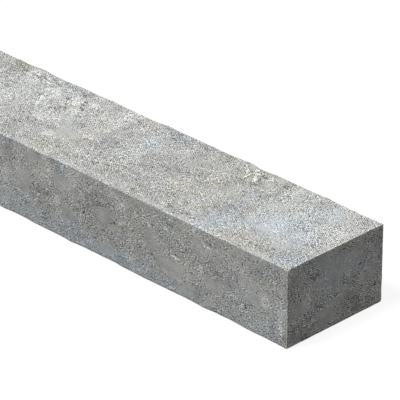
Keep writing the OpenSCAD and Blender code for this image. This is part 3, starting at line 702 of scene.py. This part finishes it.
def weathering(points):
    """(lightness, warmth, roughness, chance) of every point: placed near the camera's
    corner, and random lumps of the same strength everywhere else, where chance is 1."""
    found = np.stack([
        lumps(points, *CHANCE_STAINS),
        lumps(points, *CHANCE_TINTS),
        lumps(points, *CHANCE_ROUGHNESS),
        np.ones(len(points)),
    ])
    places = ragged(points, STAIN_STRAY)
    for wear in FACE_WEAR:
        across, down, below = on_face(wear.face, places)
        placed = np.stack([
            laid_out(across, down, wear.stains) * STAIN_SHADE / 100,
            laid_out(across, down, wear.tints, power=2) * TINT_SWING,
            laid_out(across, down, wear.roughness) * ROUGH_SWING + wear.face.roughness,
            np.zeros(len(points)),
        ])
        weight = ramp(below, *STAIN_FADE_MM)
        if wear.face is not NEAR_END:
            weight = weight * ramp(across, *LENGTH_FADE_MM)
        found += weight * (placed - found)
    return found


def arris_rub_and_painted_light(points):
    """How much lighter the arrises are than the faces: up to about 1 where handling has worn them pale,
    which is partly a painted highlight, and less than 0 along the soffit, where it is painted shade,
    and on the upright edges at the back, which are darker.
    """
    # A point's second least distance from the planes of the six sides is how far its arris is.
    from_arris = np.sort(HALF - np.abs(points), axis=1)[:, 1]
    change = random_field(points, RUB_HIGHLIGHT_LUMP, RUB_HIGHLIGHT_SEED)
    rubbed_and_highlit = ramp(from_arris, *RUB_HIGHLIGHT_EDGE) * (RUB_HIGHLIGHT_MEAN + RUB_HIGHLIGHT_SWING * change)
    below = ramp(points[:, 2] + HALF[2], *DARK_EDGE)
    behind = ramp(HALF[1] - points[:, 1], *DARK_EDGE) * ramp(HALF[2] - points[:, 2], *DARK_BELOW_TOP)
    return rubbed_and_highlit * (1 - DARKENING * np.maximum(below, behind))


def add_skin(name, points, quads, looks, values):
    """A mesh object at the origin with these points and quads, the number of each quad's material,
    and a number on each point for every entry of values."""
    mesh = bpy.data.meshes.new(name)
    mesh.vertices.add(len(points))
    mesh.vertices.foreach_set("co", points.astype(np.float32).ravel())
    mesh.loops.add(quads.size)
    mesh.loops.foreach_set("vertex_index", quads.ravel().astype(np.int32))
    mesh.polygons.add(len(quads))
    mesh.polygons.foreach_set("loop_start", np.arange(0, quads.size, 4, dtype=np.int32))
    mesh.polygons.foreach_set("use_smooth", np.ones(len(quads), dtype=bool))
    mesh.polygons.foreach_set("material_index", looks.astype(np.int32))
    for key, numbers in values.items():
        attribute = mesh.attributes.new(key, "FLOAT", "POINT")
        attribute.data.foreach_set("value", numbers.astype(np.float32))
    mesh.update(calc_edges=True)
    mesh.validate()
    piece = bpy.data.objects.new(name, mesh)
    bpy.context.scene.collection.objects.link(piece)
    return piece


def stretches(points, quads):
    """Which stretch from the near end each quad's middle lies in. The last runs to the far end."""
    along = (HALF[0] - points[quads, 0].mean(axis=1)) / MM
    return np.clip(along // STRETCH_MM, 0, STRETCHES - 1).astype(int)


def cast_lintel():
    """The whole concrete beam as one closed skin."""
    flat_points, quads, sides = box_skin()
    looks = sides * STRETCHES + stretches(flat_points, quads)
    points = sink_faces(wear_arrises(flat_points), flat_points)
    light, warmth, roughness, chance = weathering(flat_points)
    values = {
        "lightness": light,
        "warmth": warmth,
        "roughness": roughness,
        "chance": chance,
        "arris": arris_rub_and_painted_light(flat_points),
    }
    return add_skin("cast_lintel", points + MIDDLE, quads, looks, values)


# ---------------------------------------------------------------------------
# Material. A shade of 1 is the cement's own colour and 0 is black, and warmth is -1 for the blue
# cast and 1 for the cream one.

# Cement with a blue and with a cream cast, and the least shade that any spot has
COOL_GREY = (0.473, 0.504, 0.522, 1)
WARM_GREY = (0.539, 0.520, 0.471, 1)
DARKEST = 0.15
# Roughness of dark and of pale grains, and how much the skin shines
MATT = (0.82, 0.98)
SPECULAR = 0.3

# Sand grains: their size, how much they are drawn out along a face's level and upright edges, and
# the angle that their jumble is then turned by
GRAIN_MM = 1.5
GRAIN_STRETCH = (1.3, 0.8, 1)
GRAIN_TURN = 0.785
# How far noise bends their outlines, from one extreme to the other
GRAIN_STRAY_MM = 1.8
# How far from its middle a grain has gone and is still full, in grain widths, and how much of the
# opposite shade the ground round it gets, which keeps the mean near 0
GRAIN_EDGE = (0.45, 0.2)
GRAIN_RIM = 0.33
# How far the grains' shades, from -1 to 1, are moved towards dark
GRAIN_TILT = 0.3
# How strongly grains change shade and warmth, and the most that one adds to the shade
GRAIN_SHADE = 2.4
GRAIN_WARMTH = 0.9
PALEST_GRAIN = 0.6
# Grain clusters: their size, how much the grain's strength swings between them, and its least
CLUSTER_MM = 9
CLUSTER_SWING = 2.0
LEAST_GRAIN = 0.2

# Mottling: the widest mottles, how many halvings of them there are and how much each halving
# keeps, how much they are drawn out along the lintel, and how much they change shade and warmth
MOTTLE_MM = 10
MOTTLE_DETAIL = 4.0
MOTTLE_KEEP = 0.95
MOTTLE_STRETCH = (1.6, 1, 1)
MOTTLE_SHADE = 1.3
MOTTLE_WARMTH = 4.0
# Where the noise for warmth is read, so that it doesn't follow the shade
FAR_OFF_MM = (500, 0, 0)

# Pinholes: spacing and the largest half size, the share of places that have none, how far inside
# its rim a hole starts and is full, how much painted shade darkens it, and how deep it is
FINE_PORE_MM = (3.4, 0.50)
LARGE_PORE_MM = (17.0, 1.2)
PORELESS = 0.35
PORE_RIM_MM = (-0.1, 0.25)
PORE_PAINTED_SHADE = 0.60
PORE_DEPTH = 2.0

# Chance flecks: their spacing and half sizes, how far out one has gone and is still full, in half
# sizes, the draw below which a place has none and above which it has one in full, the darkest and
# the bluest, how much they change shade and warmth, and how much of them shows among placed wear
FLECK_SPACING_MM = 13
FLECK_HALF_MM = (3.4, 1.1, 3.0)
FLECK_RIM = (1.2, 0.5)
FLECK_PRESENT = (0.35, 0.55)
FLECK_DARKEST = -0.3
FLECK_BLUEST = -0.6
FLECK_SHADE = 0.45
FLECK_WARMTH = 0.8
LEAST_FLECKS = 0.3

# How much paler or darker an arris is, from rubbing, a painted highlight, painted shade along the
# soffit and darkening at the back, and how deep the relief of grain and holes is
ARRIS_RUB_AND_PAINTED_LIGHT = 0.6
BUMP_MM = 0.12
# Placed marks: what their lightness is multiplied by, the size of the waves that bend their
# outlines and how far, how deep they reach, and how far out one has gone and is still full, in half
# sizes
MARK_SHADE = 1.3
MARK_WAVE_MM = 2.5
MARK_STRAY_MM = 0.8
MARK_THROUGH_MM = 3.0
MARK_RIM = (1.2, 0.8)
# Each side has stretches of this length from the near end, and the last runs to the far end. One
# that marks reach has its own material, which holds only those, and the others share a plain one.
STRETCH_MM = 50
STRETCHES = 9
MARK_REACH_MM = 8

SHADE_AND_WARMTH = {"Shade": "NodeSocketFloat", "Warmth": "NodeSocketFloat"}


class Nodes:
    """Adds nodes to one tree. An input is a plain value, or the socket that feeds it."""

    def __init__(self, tree):
        self.tree = tree

    def feed(self, node, inputs):
        """Sets or links the named inputs of a node."""
        for key, value in inputs.items():
            if isinstance(value, bpy.types.NodeSocket):
                self.tree.links.new(value, node.inputs[key])
            else:
                node.inputs[key].default_value = value

    def add(self, kind, inputs=None, **settings):
        """A new node of this kind, with these inputs and settings."""
        node = self.tree.nodes.new(kind)
        for name, value in settings.items():
            setattr(node, name, value)
        self.feed(node, inputs or {})
        return node

    def group(self, tree, inputs):
        """One use of a node group, with its own inputs."""
        return self.add("ShaderNodeGroup", inputs, node_tree=tree).outputs

    def math(self, operation, *values, clamp=False):
        """What a maths operation makes of the values."""
        inputs = dict(enumerate(values))
        return self.add("ShaderNodeMath", inputs, operation=operation, use_clamp=clamp).outputs[0]

    def vector(self, operation, *values):
        """What a vector operation makes of the vectors."""
        return self.add("ShaderNodeVectorMath", dict(enumerate(values)), operation=operation).outputs[0]

    def scaled(self, vector, factor):
        """The vector, or colour, times a factor."""
        inputs = {"Vector": vector, "Scale": factor}
        return self.add("ShaderNodeVectorMath", inputs, operation="SCALE").outputs["Vector"]

    def length(self, vector):
        """How long the vector is."""
        return self.add("ShaderNodeVectorMath", {0: vector}, operation="LENGTH").outputs["Value"]

    def noise(self, vector, size, detail=2.0, roughness=0.5, output="Fac"):
        """Cloudy noise from 0 to 1 with lumps about `size` wide, as one value or as a colour."""
        inputs = {"Vector": vector, "Scale": 1 / size, "Detail": detail, "Roughness": roughness}
        return self.add("ShaderNodeTexNoise", inputs).outputs[output]

    def strayed(self, vector, size, amount):
        """The vector, bent by noise of this size, by up to half the amount each way."""
        noise = self.noise(vector, size, output="Color")
        stray = self.vector("SUBTRACT", noise, (0.5, 0.5, 0.5))
        return self.vector("ADD", vector, self.scaled(stray, amount))

    def ramp(self, value, start, stop, low=0.0, high=1.0):
        """low before start, high after stop and an S curve between."""
        inputs = {"Value": value, "From Min": start, "From Max": stop, "To Min": low, "To Max": high}
        return self.add("ShaderNodeMapRange", inputs, interpolation_type="SMOOTHSTEP").outputs["Result"]

    def placed(self, vector, middle=(0, 0, 0), turn=(0, 0, 0), size=(1, 1, 1)):
        """The vector as seen from a frame with this middle, turn and unit size."""
        inputs = {"Vector": vector, "Location": middle, "Rotation": turn, "Scale": size}
        return self.add("ShaderNodeMapping", inputs, vector_type="TEXTURE").outputs["Vector"]

    def cells(self, vector, size, dimensions="3D"):
        """A jumble of cells about `size` wide: its nearest centre, the distance and a random colour."""
        inputs = {"Vector": vector, "Scale": 1 / size}
        return self.add("ShaderNodeTexVoronoi", inputs, voronoi_dimensions=dimensions).outputs

    def flat(self, vector, out):
        """The vector's two parts along a face that looks along the axis `out`, the level one first."""
        parts = self.add("ShaderNodeSeparateXYZ", {"Vector": vector}).outputs
        level, upright = [axis for axis in range(3) if axis != out]
        inputs = {"X": parts[level], "Y": parts[upright]}
        return self.add("ShaderNodeCombineXYZ", inputs).outputs["Vector"]

    def parts(self, colour):
        """The red, green and blue of a colour."""
        return self.add("ShaderNodeSeparateColor", {"Color": colour}).outputs

    def attribute(self, name):
        """The number of this name that the skin's points carry."""
        return self.add("ShaderNodeAttribute", attribute_name=name).outputs["Fac"]


def new_group(name, inputs, outputs):
    """An empty shader node group: its nodes, its inner inputs and its output node.

    inputs and outputs give each socket's name and kind."""
    tree = bpy.data.node_groups.new(name, "ShaderNodeTree")
    for socket, kind in inputs.items():
        tree.interface.new_socket(socket, in_out="INPUT", socket_type=kind)
    for socket, kind in outputs.items():
        tree.interface.new_socket(socket, in_out="OUTPUT", socket_type=kind)
    nodes = Nodes(tree)
    return nodes, nodes.add("NodeGroupInput").outputs, nodes.add("NodeGroupOutput")


def sand_grain_group():
    """Sand in the cement skin: a jumble of pale, dark, cream and bluish grains. Place has a face's
    level and upright parts, and the grains are cells in that plane, each with its own two draws.
    """
    nodes, given, result = new_group("sand grain", {"Place": "NodeSocketVector"}, SHADE_AND_WARMTH)
    drawn = nodes.placed(given["Place"], size=GRAIN_STRETCH)
    strayed = nodes.strayed(drawn, GRAIN_MM, GRAIN_STRAY_MM)
    cells = nodes.cells(nodes.placed(strayed, turn=(0, 0, GRAIN_TURN)), GRAIN_MM, "2D")
    draw = nodes.parts(cells["Color"])
    inside = nodes.math("SUBTRACT", nodes.ramp(cells["Distance"], *GRAIN_EDGE), GRAIN_RIM)
    # The draws run from 0 to 1, and the warmth from -1 to 1, as does the shade before its tilt.
    shade = nodes.math("MULTIPLY_ADD", draw["Red"], 2.0, -1.0 - GRAIN_TILT)
    warmth = nodes.math("MULTIPLY_ADD", draw["Green"], 2.0, -1.0)
    nodes.feed(result, {
        "Shade": nodes.math("MULTIPLY", shade, inside),
        "Warmth": nodes.math("MULTIPLY", warmth, inside),
    })
    return nodes.tree


def mottling_group():
    """Mottles of every size from the widest down, as shade, drawn out along the lintel, and as
    warmth."""
    nodes, given, result = new_group("mottling", {"Place": "NodeSocketVector"}, SHADE_AND_WARMTH)
    drawn = nodes.placed(given["Place"], size=MOTTLE_STRETCH)
    far = nodes.vector("ADD", given["Place"], FAR_OFF_MM)
    for output, place in (("Shade", drawn), ("Warmth", far)):
        mottles = nodes.noise(place, MOTTLE_MM, detail=MOTTLE_DETAIL, roughness=MOTTLE_KEEP)
        nodes.feed(result, {output: nodes.math("SUBTRACT", mottles, 0.5)})
    return nodes.tree


def pores_group(name, spacing, radius):
    """Pinholes left by air in the mould: a round spot for painted shade in the cells that have one."""
    nodes, given, result = new_group(name, {"Place": "NodeSocketVector"}, {"Mask": "NodeSocketFloat"})
    cells = nodes.cells(given["Place"], spacing)
    own_radius = nodes.ramp(nodes.parts(cells["Color"])["Red"], PORELESS, 1.0, 0.0, radius)
    inside = nodes.math("MULTIPLY_ADD", cells["Distance"], -spacing, own_radius)
    nodes.feed(result, {"Mask": nodes.ramp(inside, *PORE_RIM_MM)})
    return nodes.tree


def flecks_group():
    """Chance flakes and scratches: in each cell that has one, an oval turned its own way."""
    nodes, given, result = new_group("flecks", {"Place": "NodeSocketVector"}, SHADE_AND_WARMTH)
    cells = nodes.cells(given["Place"], FLECK_SPACING_MM)
    draw = nodes.parts(cells["Color"])
    # The cells' places are in cell widths, as the texture's own scale has it.
    middle = nodes.scaled(cells["Position"], FLECK_SPACING_MM)
    turn = nodes.scaled(cells["Color"], math.pi)
    local = nodes.placed(given["Place"], middle, turn, FLECK_HALF_MM)
    mask = nodes.ramp(nodes.length(local), *FLECK_RIM)
    present = nodes.ramp(draw["Red"], *FLECK_PRESENT)
    shade = nodes.math("MULTIPLY", mask, nodes.math("ADD", draw["Green"], FLECK_DARKEST))
    warmth = nodes.math("MULTIPLY", mask, nodes.math("ADD", draw["Blue"], FLECK_BLUEST))
    nodes.feed(result, {
        "Shade": nodes.math("MULTIPLY", shade, present),
        "Warmth": nodes.math("MULTIPLY", warmth, present),
    })
    return nodes.tree


def mark_group():
    """One placed flake, scratch, pit or crack line, where pits and crack lines are painted shade and
    highlight: its mask, with a soft rim, adds to shade and warmth.
    """
    nodes, given, result = new_group(
        "mark",
        {
            "Place": "NodeSocketVector", "Middle": "NodeSocketVector", "Turn": "NodeSocketVector",
            "Half size": "NodeSocketVector", "Shade": "NodeSocketFloat", "Warmth": "NodeSocketFloat",
            "Shade so far": "NodeSocketFloat", "Warmth so far": "NodeSocketFloat",
        },
        SHADE_AND_WARMTH,
    )
    local = nodes.placed(given["Place"], given["Middle"], given["Turn"], given["Half size"])
    mask = nodes.ramp(nodes.length(local), *MARK_RIM)
    for key in SHADE_AND_WARMTH:
        total = nodes.math("MULTIPLY_ADD", mask, given[key], given[f"{key} so far"])
        nodes.feed(result, {key: total})
    return nodes.tree


def add_marks(nodes, group, place, face, marks, shade, warmth):
    """Adds a face's placed marks to the shade and warmth, one after another."""
    for mark in marks:
        middle = [0.0, 0.0, 0.0]
        middle[face.across] = face.across_side * (HALF[face.across] / MM - mark.across)
        middle[face.down] = face.down_side * (HALF[face.down] / MM - mark.down)
        middle[face.out] = face.out_side * HALF[face.out] / MM
        turn = [0.0, 0.0, 0.0]
        turn[face.out] = face.turn * math.radians(mark.tilt)
        half_size = [MARK_THROUGH_MM] * 3
        half_size[face.across] = mark.long
        half_size[face.down] = mark.wide
        total = nodes.group(group, {
            "Place": place, "Middle": middle, "Turn": turn, "Half size": half_size,
            "Shade": MARK_SHADE * mark.lightness / 100, "Warmth": mark.warmth,
            "Shade so far": shade, "Warmth so far": warmth,
        })
        shade, warmth = total["Shade"], total["Warmth"]
    return shade, warmth


def concrete_groups():
    """The shader node groups that all the concrete materials share."""
    return {
        "grain": sand_grain_group(),
        "mottling": mottling_group(),
        "fine pores": pores_group("fine pores", *FINE_PORE_MM),
        "large pores": pores_group("large pores", *LARGE_PORE_MM),
        "flecks": flecks_group(),
        "mark": mark_group(),
    }


def concrete_material(name, groups, out, face=None, marks=()):
    """Weathered grey concrete with a matt, gritty skin for a side that looks along the axis `out`,
    with these marks on this face."""
    material = bpy.data.materials.new(name)
    material.use_nodes = True
    nodes = Nodes(material.node_tree)
    object_place = nodes.add("ShaderNodeTexCoord").outputs["Object"]
    place = nodes.scaled(nodes.vector("SUBTRACT", object_place, tuple(MIDDLE)), 1 / MM)
    ragged_place = nodes.strayed(place, MARK_WAVE_MM, MARK_STRAY_MM)

    grain = nodes.group(groups["grain"], {"Place": nodes.flat(place, out)})
    mottling = nodes.group(groups["mottling"], {"Place": ragged_place})
    flecks = nodes.group(groups["flecks"], {"Place": ragged_place})
    fine_pores = nodes.group(groups["fine pores"], {"Place": ragged_place})["Mask"]
    large_pores = nodes.group(groups["large pores"], {"Place": ragged_place})["Mask"]

    # How coarse the skin is here sets the strength of its grain and fine pinholes.
    clusters = nodes.math("SUBTRACT", nodes.noise(ragged_place, CLUSTER_MM), 0.5)
    coarseness = nodes.math("MULTIPLY_ADD", clusters, CLUSTER_SWING, nodes.attribute("roughness"))
    coarseness = nodes.math("MAXIMUM", nodes.math("ADD", coarseness, 1.0), LEAST_GRAIN)
    holes = nodes.math("MAXIMUM", nodes.math("MULTIPLY", fine_pores, coarseness), large_pores)
    grain_shade = nodes.math("MULTIPLY", grain["Shade"], nodes.math("MULTIPLY", coarseness, GRAIN_SHADE))
    grain_shade = nodes.math("MINIMUM", grain_shade, PALEST_GRAIN)
    chance = nodes.math("MULTIPLY_ADD", nodes.attribute("chance"), 1 - LEAST_FLECKS, LEAST_FLECKS)
    fleck_shade = nodes.math("MULTIPLY", flecks["Shade"], chance)
    fleck_warmth = nodes.math("MULTIPLY", flecks["Warmth"], chance)

    shade = nodes.math("ADD", nodes.attribute("lightness"), 1.0)
    # Arrises: paler from rubbing and a painted highlight, darker along the soffit as painted shade
    shade = nodes.math("MULTIPLY_ADD", nodes.attribute("arris"), ARRIS_RUB_AND_PAINTED_LIGHT, shade)
    shade = nodes.math("MULTIPLY_ADD", mottling["Shade"], MOTTLE_SHADE, shade)
    shade = nodes.math("MULTIPLY_ADD", fleck_shade, FLECK_SHADE, shade)
    # Pinholes are darkened in the colour: painted shade inside the holes
    shade = nodes.math("MULTIPLY_ADD", holes, -PORE_PAINTED_SHADE, shade)
    shade = nodes.math("ADD", grain_shade, shade)
    warmth = nodes.math("MULTIPLY_ADD", mottling["Warmth"], MOTTLE_WARMTH, nodes.attribute("warmth"))
    warmth = nodes.math("MULTIPLY_ADD", fleck_warmth, FLECK_WARMTH, warmth)
    warmth = nodes.math("MULTIPLY_ADD", grain["Warmth"], GRAIN_WARMTH, warmth)
    shade, warmth = add_marks(nodes, groups["mark"], ragged_place, face, marks, shade, warmth)

    tint = nodes.add(
        "ShaderNodeMix",
        # Warmth from -1 to 1 becomes a share of the cream cement from 0 to 1.
        {"Factor": nodes.math("MULTIPLY_ADD", warmth, 0.5, 0.5), "A": COOL_GREY, "B": WARM_GREY},
        data_type="RGBA",
        clamp_factor=False,
    )
    height = nodes.math("SUBTRACT", grain_shade, nodes.math("MULTIPLY", holes, PORE_DEPTH))
    bump = nodes.add("ShaderNodeBump", {"Height": height, "Distance": BUMP_MM * MM, "Strength": 1.0})
    nodes.feed(material.node_tree.nodes["Principled BSDF"], {
        # A Mix node has a Result for each kind of data, and the colour is the third.
        "Base Color": nodes.scaled(tint.outputs[2], nodes.math("MAXIMUM", shade, DARKEST)),
        "Normal": bump.outputs["Normal"],
        "Roughness": nodes.ramp(grain["Shade"], -1, 1, *MATT),
        "Specular IOR Level": SPECULAR,
    })
    return material


def marks_within(wear, stretch):
    """The marks that reach into one stretch of a long face, or into the first one all those of the
    near end."""
    marks = [Mark(*numbers) for numbers in wear.marks]
    if wear.face is NEAR_END:
        return marks if stretch == 0 else []
    start = stretch * STRETCH_MM - MARK_REACH_MM
    stop = (stretch + 1) * STRETCH_MM + MARK_REACH_MM
    return [mark for mark in marks if start < mark.across < stop]


def add_concrete(piece):
    """Gives the skin one material for each stretch of each side: with the marks that lie there, or
    plain where there are none."""
    groups = concrete_groups()
    plain = [concrete_material(f"plain concrete {axis}", groups, axis) for axis in range(3)]
    worn = {(wear.face.out, wear.face.out_side): wear for wear in FACE_WEAR}
    for side, stretch in product(SIDES, range(STRETCHES)):
        axis = side[0]
        material = plain[axis]
        marks = marks_within(worn[side], stretch) if side in worn else []
        if marks:
            face = worn[side].face
            name = f"{face.name} concrete {stretch * STRETCH_MM}"
            material = concrete_material(name, groups, axis, face, marks)
        piece.data.materials.append(material)


# ---------------------------------------------------------------------------
# Floor, light and camera

# How strong the sky is as a light, and the sun: the way it comes from, its strength and its width
SKY_LEVEL = 0.30
KEY_FROM = (-0.15, -0.38, 1.0)
KEY_STRENGTH = 2.55
KEY_ANGLE = 12
# The floor's width, its grey as it lights others, and its glow and grey as it is seen
FLOOR_SIZE = 12
FLOOR_GREY = 0.17
FLOOR_GLOW = 0.90
FLOOR_SHADE = 0.11

# The camera's bearing from the front and its height, in degrees, how far off it is, and its lens
CAMERA_AZIMUTH = 45.49
CAMERA_ELEVATION = 27.49
CAMERA_DISTANCE = 2.1772
CAMERA_LENS = 280.4
# Where the camera aims, left of and above the near top corner as it sees them
AIM_LEFT = 0.0613
AIM_UP = 0.0488

WHITE = (1, 1, 1, 1)


def grey(level):
    """An even grey of this level, as a colour."""
    return (level, level, level, 1)


def seen_share(nodes):
    """1 for rays that the floor or sky is seen by, straight, in gloss or through glass."""
    path = nodes.add("ShaderNodeLightPath").outputs
    seen = nodes.math("ADD", path["Is Camera Ray"], path["Is Glossy Ray"])
    return nodes.math("ADD", seen, path["Is Transmission Ray"], clamp=True)


def lit_and_seen(nodes, lighting, seen, output):
    """Feeds an output node with one shader for rays that light things and one for those that see."""
    inputs = {0: seen_share(nodes), 1: lighting.outputs[0], 2: seen.outputs[0]}
    both = nodes.add("ShaderNodeMixShader", inputs)
    nodes.add(output, {"Surface": both.outputs[0]})


def set_sky():
    """An even sky: dim as a light and white as a background."""
    world = bpy.data.worlds.new("studio")
    world.use_nodes = True
    nodes = Nodes(world.node_tree)
    world.node_tree.nodes.clear()
    dim = nodes.add("ShaderNodeBackground", {"Color": WHITE, "Strength": SKY_LEVEL})
    white = nodes.add("ShaderNodeBackground", {"Color": WHITE, "Strength": 1.0})
    lit_and_seen(nodes, dim, white, "ShaderNodeOutputWorld")
    bpy.context.scene.world = world


def floor_material():
    """A pale floor: white where it is seen, with a faint shadow, and darker as it lights others."""
    material = bpy.data.materials.new("studio floor")
    material.use_nodes = True
    nodes = Nodes(material.node_tree)
    material.node_tree.nodes.clear()
    dim = nodes.add("ShaderNodeBsdfDiffuse", {"Color": grey(FLOOR_GREY)})
    shade = nodes.add("ShaderNodeBsdfDiffuse", {"Color": grey(FLOOR_SHADE)})
    glow = nodes.add("ShaderNodeEmission", {"Color": WHITE, "Strength": FLOOR_GLOW})
    white = nodes.add("ShaderNodeAddShader", {0: shade.outputs[0], 1: glow.outputs[0]})
    lit_and_seen(nodes, dim, white, "ShaderNodeOutputMaterial")
    return material


def add_floor():
    """A flat square floor at the lintel's soffit."""
    corners = [(-1, -1), (1, -1), (1, 1), (-1, 1)]
    points = [(x * FLOOR_SIZE / 2, y * FLOOR_SIZE / 2, LOW[2]) for x, y in corners]
    mesh = bpy.data.meshes.new("floor")
    mesh.from_pydata(points, [], [(0, 1, 2, 3)])
    floor = bpy.data.objects.new("floor", mesh)
    floor.data.materials.append(floor_material())
    bpy.context.scene.collection.objects.link(floor)


def add_key_light():
    """One broad lamp high over the front left."""
    lamp = bpy.data.lights.new("key", "SUN")
    lamp.energy = KEY_STRENGTH
    lamp.angle = math.radians(KEY_ANGLE)
    key = bpy.data.objects.new("key", lamp)
    key.rotation_euler = Vector(KEY_FROM).to_track_quat("Z", "Y").to_euler()
    bpy.context.scene.collection.objects.link(key)


def add_camera():
    """A long lens that looks down on the near end from the front right."""
    azimuth = math.radians(CAMERA_AZIMUTH)
    elevation = math.radians(CAMERA_ELEVATION)
    back = Vector((
        math.sin(azimuth) * math.cos(elevation),
        -math.cos(azimuth) * math.cos(elevation),
        math.sin(elevation),
    ))
    right = Vector((math.cos(azimuth), math.sin(azimuth), 0))
    up = back.cross(right)
    near_corner = Vector((HIGH[0], LOW[1], HIGH[2]))
    place = near_corner - AIM_LEFT * right + AIM_UP * up + CAMERA_DISTANCE * back
    camera = bpy.data.objects.new("camera", bpy.data.cameras.new("camera"))
    camera.data.lens = CAMERA_LENS
    camera.matrix_world = Matrix.Translation(place) @ Matrix((right, up, back)).transposed().to_4x4()
    bpy.context.scene.collection.objects.link(camera)
    bpy.context.scene.camera = camera


# ---------------------------------------------------------------------------
# The scene

lintel = cast_lintel()
add_concrete(lintel)
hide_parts(NODE)
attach(lintel, "root")

set_sky()
add_floor()
add_key_light()
add_camera()
bpy.context.scene.view_settings.view_transform = "Standard"
